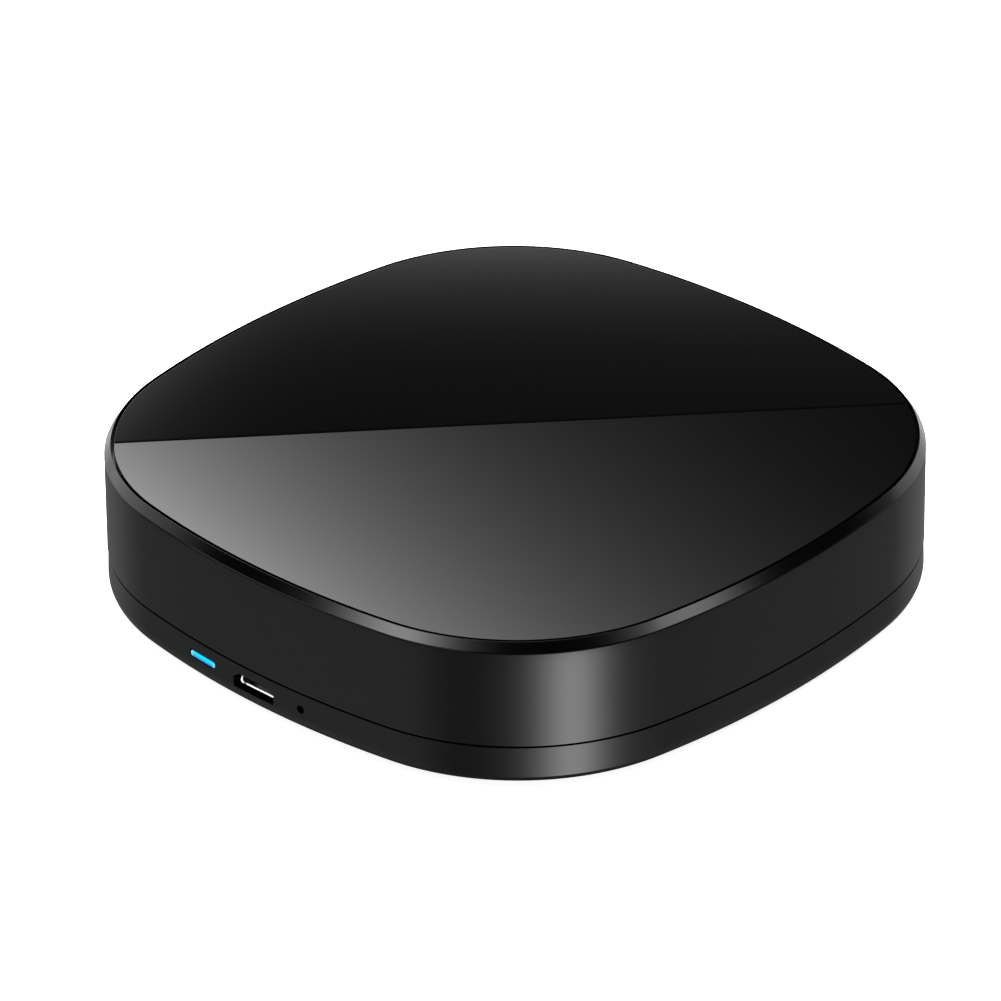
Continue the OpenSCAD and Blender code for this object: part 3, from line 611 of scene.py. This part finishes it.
# Feet and case screws: soft black rubber discs stuck in recesses over zinc plated screws, which
# run up through the base's corner posts into bosses of the upper shell.
foot_rubber = Finish("foot_rubber", (0.022, 0.022, 0.022), 0.78)
rubber_grain = foot_rubber.cloud(0.25 * MM, 4)
foot_rubber.set("Roughness", rubber_grain * 0.2 + 0.68)
foot_rubber.tint(foot_rubber.cloud(2 * MM), (0.016, 0.016, 0.016), (0.03, 0.03, 0.029))
foot_rubber.relief(rubber_grain, 0.02 * MM)
foot_rubber.dress("foot_1", "foot_2", "foot_3", "foot_4")

screw_steel = Finish("screw_steel", (0.6, 0.6, 0.62), 0.32, 1.0)
turned_marks = screw_steel.cloud(0.08 * MM, 2, (1, 1, 6))
screw_steel.set("Roughness", turned_marks * 0.22 + 0.22)
screw_steel.tint(screw_steel.cloud(0.9 * MM), (0.5, 0.51, 0.53), (0.68, 0.68, 0.67))
screw_steel.relief(turned_marks, 0.004 * MM)
screw_steel.dress("case_screws", "board_screws")


# Main board: glass laminate under a green mask, with copper tracks that show through it as
# lighter lines. It stands on four standoffs, held by screws.
board_green = Finish("board_laminate", (0.01, 0.1, 0.035), 0.38)
weave = board_green.cloud(0.3 * MM, 1)
wide_bands = (board_green.cloud(5 * MM, 0) * 14).worked("FRACT")
long_bands = (board_green.cloud(9 * MM, 0, (1, 1, 0.2)) * 22).worked("FRACT")
tracks = wide_bands.step(0.0, 0.16, 1.0, 0.0).worked(
    "MAXIMUM", long_bands.step(0.0, 0.14, 1.0, 0.0))
mask_tone = board_green.between(weave, (0.006, 0.075, 0.026), (0.012, 0.115, 0.042))
board_green.tint(tracks, mask_tone, (0.035, 0.21, 0.085))
board_green.set("Roughness", weave * 0.12 + 0.3)
board_green.relief(tracks * 0.7 + weave * 0.3, 0.02 * MM)
board_green.dress("main_board")


# Power socket: a bright plated sheet shell that hangs under the board, with a black moulded
# tongue and five gold plated contacts. Its mouth reaches into the opening and slants back.
socket_steel = Finish("socket_steel", (0.72, 0.72, 0.73), 0.2, 1.0)
rolled = socket_steel.cloud(0.12 * MM, 3, (1, 9, 1))
socket_steel.set("Roughness", rolled * 0.14 + 0.14)
socket_steel.tint(socket_steel.cloud(1.5 * MM), (0.62, 0.62, 0.64), (0.78, 0.78, 0.77))
socket_steel.relief(rolled, 0.002 * MM)

lip_low, lip_rise = 3.22 * MM, 1 * MM
lip_side = 3.15 * MM
lip_slant = 0.38


def socket_ring(size, low, y, radius, slant=0.0):
    """The socket's outline, flat below and bevelled above, at one depth behind the front wall.
    A slant adds its share of the height above the lip, less that of the way past its side."""
    half, high = size[0] / 2, size[1]
    corners = np.array([(-half, 0), (half, 0), (half, high - 0.7), (half - 0.95, high),
                        (0.95 - half, high), (-half, high - 0.7)]) * MM
    corner_radii = np.array([radius, radius, 0.25, 0.25, 0.25, 0.25]) * MM
    flat = rounded(corners, corner_radii, 9) + [socket_x, low * MM]
    rise = np.minimum(flat[:, 1] - lip_low, lip_rise)
    side = np.maximum(np.abs(flat[:, 0] - socket_x) - lip_side, 0)
    return np.stack([flat[:, 0], y * MM + slant * (rise - side), flat[:, 1]], 1)


# Rings of the sheet in (width, height), lowest z, depth and corner radius, in millimetres: the
# outside from the back to the front, a step in to the lip, and the inside from front to back.
sheet_rings = np.array([
    socket_ring((7.4, 2.35), 3.125, -42.5, 0.95), socket_ring((7.4, 2.35), 3.125, -48.1, 0.95),
    socket_ring((7.3, 2.05), 3.22, -48.1, 0.5),
    socket_ring((7.3, 2.05), 3.22, -48.6, 0.5, lip_slant),
    socket_ring((6.9, 1.65), 3.42, -48.6, 0.3, lip_slant),
    socket_ring((6.9, 1.85), 3.375, -47.9, 0.6), socket_ring((6.9, 1.85), 3.375, -42.5, 0.7)])
socket_sheet = new_mesh("socket", sheet_rings.reshape(-1, 3), grid_faces(
    *sheet_rings.shape[:2], wrap_columns=True, wrap_rows=True))
tab_square = np.array([(-0.5, -0.7), (0.5, -0.7), (0.5, 0.7), (-0.5, 0.7)]) * MM
tab_spots = [(socket_x + 3.25 * MM * side, y * MM) for side in (-1, 1) for y in (-46.1, -43.3)]
joined(socket_sheet, [prism_arrays(tab_square + spot, board_z - 0.25 * MM, board_z)
                      for spot in tab_spots])
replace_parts(finished(socket_sheet, socket_steel), "usb_shell")

socket_plastic = Finish("socket_plastic", (0.012, 0.012, 0.012), 0.5)
moulded = socket_plastic.cloud(0.1 * MM, 3)
socket_plastic.set("Roughness", moulded * 0.2 + 0.4)
socket_plastic.tint(moulded, (0.009, 0.009, 0.009), (0.016, 0.016, 0.016))
socket_plastic.relief(moulded, 0.004 * MM)
socket_plastic.dress("usb_tongue")

contact_gold = Finish("contact_gold", (0.83, 0.6, 0.22), 0.25, 1.0)
struck = contact_gold.cloud(0.1 * MM, 3, (1, 6, 1))
contact_gold.set("Roughness", struck * 0.18 + 0.18)
contact_gold.tint(contact_gold.cloud(0.6 * MM), (0.8, 0.55, 0.18), (0.88, 0.66, 0.28))
contact_gold.dress("usb_contacts")


# Reset switch: a black moulded body with tinned terminals and a snap dome, and the ivory button
# that a pin through the hole in the front wall pushes in. The same black epoxy and the same tin
# are on the other small parts of the board.
part_black = Finish("part_plastic", (0.02, 0.02, 0.022), 0.55)
part_grain = part_black.cloud(0.12 * MM, 4)
part_black.set("Roughness", part_grain * 0.24 + 0.42)
part_black.tint(part_black.cloud(1.2 * MM), (0.014, 0.014, 0.015), (0.026, 0.026, 0.027))
part_black.relief(part_grain, 0.008 * MM)
part_black.dress("reset_switch", "module_chip", "capacitor_base", "regulator",
                 "driver_transistors", "chip_resistors")

tinned = Finish("tinned_leads", (0.7, 0.7, 0.69), 0.35, 1.0)
tin_flow = tinned.cloud(0.3 * MM, 3)
tinned.set("Roughness", tin_flow * 0.25 + 0.24)
tinned.tint(tin_flow, (0.6, 0.6, 0.6), (0.78, 0.78, 0.76))
tinned.relief(tin_flow, 0.01 * MM)
tinned.dress("switch_terminals", "reset_dome", "emitter_leads", "receiver_leads",
             "regulator_leads", "transistor_leads")

button_ivory = Finish("button_plastic", (0.72, 0.68, 0.6), 0.42)
button_marks = button_ivory.cloud(0.15 * MM, 3)
button_ivory.set("Roughness", button_marks * 0.2 + 0.34)
button_ivory.tint(button_ivory.cloud(0.8 * MM), (0.66, 0.62, 0.54), (0.76, 0.73, 0.66))
button_ivory.relief(button_marks, 0.004 * MM)
button_ivory.dress("reset_plunger")


# Status light: a side-looking lamp under the board shines into a clear bar whose end shows in
# the slot. Lit, the bar is cyan above, blue below and nearly white towards its ends.
lamp_white = Finish("lamp_white", (0.84, 0.84, 0.82), 0.4)
lamp_marks = lamp_white.cloud(0.2 * MM, 2)
lamp_white.set("Roughness", lamp_marks * 0.15 + 0.33)
lamp_white.tint(lamp_marks, (0.8, 0.8, 0.77), (0.88, 0.88, 0.86))
lamp_white.dress("status_led")

lamp_lens = Finish("lamp_lens", (0.8, 0.7, 0.3), 0.2)
phosphor = lamp_lens.cloud(0.15 * MM, 3)
lamp_lens.tint(phosphor, (0.76, 0.63, 0.2), (0.86, 0.76, 0.38))
lamp_lens.set("Roughness", phosphor * 0.1 + 0.14)
lamp_lens.dress("status_led_lens")

lit_z = light_spot[1] - 0.07 * MM
round_from = 1.98 * MM
cyan, blue = (0.006, 0.7, 0.96), (0.002, 0.16, 0.55)
pale, rim_blue = (0.72, 0.97, 1.0), (0.0, 0.022, 0.08)
light_bar = Finish("status_light", (0.002, 0.03, 0.05), 0.15,
                   Specular_IOR_Level=0.12, Emission_Strength=1.0)
bar_across = (light_bar.axis(0) - light_spot[0]).worked("ABSOLUTE")
bar_height = light_bar.axis(2) - lit_z
bar_tone = light_bar.between(bar_height.step(-0.42 * MM, 0.12 * MM), blue, cyan)
bar_tone = light_bar.between(bar_across.step(1.95 * MM, 2.3 * MM, 0.0, 0.45), bar_tone, pale)
past_end = (bar_across - round_from).worked("MAXIMUM", 0.0)
from_line = (past_end * past_end + bar_height * bar_height).worked("SQRT")
light_bar.set("Emission Color", light_bar.between(
    from_line.step(0.4 * MM, 0.55 * MM), bar_tone, rim_blue))
light_bar.tint(light_bar.cloud(0.5 * MM), (0.001, 0.025, 0.04), (0.002, 0.035, 0.06))
light_bar.dress("light_pipe")


# Infrared emitters: six dark tinted epoxy lamps, tilted up in a ring round the board, and one
# that faces up. They stand on tinned leads, which are bent and soldered through the board.
emitter_tint = Finish("emitter_epoxy", (0.02, 0.014, 0.035), 0.08, Coat_Weight=0.4)
swirl = emitter_tint.cloud(2 * MM, 3)
emitter_tint.tint(swirl, (0.013, 0.009, 0.026), (0.03, 0.02, 0.05))
emitter_tint.set("Roughness", swirl * 0.06 + 0.06)
emitter_tint.dress(*[f"emitter_{i}" for i in range(1, 7)], "top_emitter")


# Infrared receiver: an upright block of black epoxy that only infrared passes, with a lens dome
# to the front. It stands on three tinned leads.
receiver_epoxy = Finish("receiver_epoxy", (0.012, 0.012, 0.015), 0.16)
receiver_marks = receiver_epoxy.cloud(0.6 * MM, 4)
receiver_epoxy.tint(receiver_marks, (0.009, 0.009, 0.012), (0.018, 0.016, 0.022))
receiver_epoxy.set("Roughness", receiver_marks * 0.12 + 0.12)
receiver_epoxy.relief(receiver_marks, 0.003 * MM)
receiver_epoxy.dress("ir_receiver")


# Radio module: its own small blue board with a copper antenna printed at one end, and a tinned
# sheet can over the chip. The module is soldered flat on the main board.
module_blue = Finish("module_laminate", (0.015, 0.04, 0.1), 0.36)
module_weave = module_blue.cloud(0.3 * MM, 1)
module_blue.tint(module_weave, (0.01, 0.03, 0.08), (0.02, 0.05, 0.12))
module_blue.set("Roughness", module_weave * 0.12 + 0.3)
module_blue.relief(module_weave, 0.006 * MM)
module_blue.dress("module_board")

antenna_copper = Finish("antenna_copper", (0.7, 0.38, 0.2), 0.35, 1.0)
etched = antenna_copper.cloud(0.15 * MM, 3)
antenna_copper.tint(etched, (0.6, 0.31, 0.16), (0.78, 0.45, 0.25))
antenna_copper.set("Roughness", etched * 0.2 + 0.25)
antenna_copper.dress("module_antenna")

shield_steel = Finish("shield_steel", (0.66, 0.66, 0.64), 0.34, 1.0)
pressed = shield_steel.cloud(0.2 * MM, 3, (8, 1, 1))
shield_steel.set("Roughness", pressed * 0.2 + 0.25)
shield_steel.tint(shield_steel.cloud(4 * MM), (0.58, 0.58, 0.57), (0.72, 0.72, 0.7))
shield_steel.relief(pressed, 0.004 * MM)
shield_steel.dress("module_shield")


# Power parts: an aluminium can capacitor on its black base, a regulator, a driver behind each
# emitter, and small ceramic capacitors, all soldered to the top of the board.
can_aluminium = Finish("can_aluminium", (0.75, 0.75, 0.76), 0.3, 1.0)
drawn = can_aluminium.cloud(0.1 * MM, 3, (1, 1, 0.15))
can_aluminium.set("Roughness", drawn * 0.2 + 0.2)
can_aluminium.tint(drawn, (0.68, 0.68, 0.7), (0.8, 0.8, 0.8))
can_aluminium.relief(drawn, 0.003 * MM)
can_aluminium.dress("capacitor_can")

chip_ceramic = Finish("chip_ceramic", (0.38, 0.26, 0.15), 0.45)
fired = chip_ceramic.cloud(0.12 * MM, 4)
chip_ceramic.tint(fired, (0.32, 0.21, 0.12), (0.44, 0.31, 0.19))
chip_ceramic.set("Roughness", fired * 0.2 + 0.35)
chip_ceramic.relief(fired, 0.006 * MM)
chip_ceramic.dress("chip_capacitors")


# Upper shell: the same black plastic, an open ring with a chamfer round its rim, a ledge for the
# panel, and a boss for each case screw. It drops over the base's lip and leaves a thin seam.
def hoop(name, profile):
    """A closed profile of (inset, z) points carried round the outline."""
    rows = on_outline(profile[:, 0], profile[:, 1], arcs)
    return new_mesh(name, rows.reshape(-1, 3), grid_faces(
        *rows.shape[:2], wrap_columns=True, wrap_rows=True))


shell_corners = np.array([(0, 7.05), (0, 21.1), (0.88, 22.4), (0.92, 22.4), (0.92, 20.7),
                          (4.98, 20.7), (4.98, 19.1), (1.8, 15.92), (1.8, 9.45), (0.9, 9.45),
                          (0.9, 7.05)]) * MM
shell_radii = np.array([0.1, 0.14, 0.01, 0.01, 0, 0.2, 0.2, 0.2, 0, 0, 0.1]) * MM
shell_profile = rounded(shell_corners, shell_radii)
shell_profile = supported(np.concatenate([shell_profile, shell_profile[:1]]), 0.08 * MM)[:-1]
upper_shell = hoop("upper", shell_profile)
boss_bore, boss_r, boss_top = 1.12 * MM, 2.9 * MM, 20.6 * MM
joined(upper_shell, [tube_arrays(boss_bore, boss_r, post_top, boss_top, at) for at in post_spots])
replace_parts(finished(upper_shell, shell_black, angle=50), "upper_shell")


# Adhesive ring: a thin dark foam tape, cut to the outline, that holds the panel down on the
# ledge of the upper shell.
tape_foam = Finish("adhesive", (0.04, 0.04, 0.042), 0.85)
foam_cells = tape_foam.cloud(0.2 * MM, 4)
tape_foam.tint(foam_cells, (0.03, 0.03, 0.031), (0.055, 0.055, 0.056))
tape_foam.set("Roughness", foam_cells * 0.15 + 0.78)
tape_foam.relief(foam_cells, 0.03 * MM)
tape_foam.dress("panel_gasket")


# Top panel: polished black polycarbonate that passes infrared, flat, and set in the rim with an
# even groove all round.
panel_gloss = Finish("gloss_panel", (0.001, 0.001, 0.0011), 0.02, IOR=1.52)
panel_wave = panel_gloss.cloud(30 * MM, 1)
panel_wipe = panel_gloss.cloud(0.5 * MM, 3, (1, 5, 1))
panel_gloss.set("Roughness", panel_wave * 0.004 + panel_wipe * 0.003 + 0.002)
panel_gloss.tint(panel_wave, (0.0007, 0.0007, 0.0008), (0.0014, 0.0014, 0.0015))
panel_gloss.relief(panel_wave, 0.004 * MM)

panel_corners = np.array([(20.16, 20.9), (1.42, 20.9), (1.42, 22.4), (20.16, 22.4)]) * MM
panel_profile = rounded(panel_corners, np.array([0, 0.06, 0.01, 0]) * MM, 6)
top_panel = globe("panel", supported(panel_profile, 0.03 * MM))
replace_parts(finished(top_panel, panel_gloss, angle=50), "top_panel")
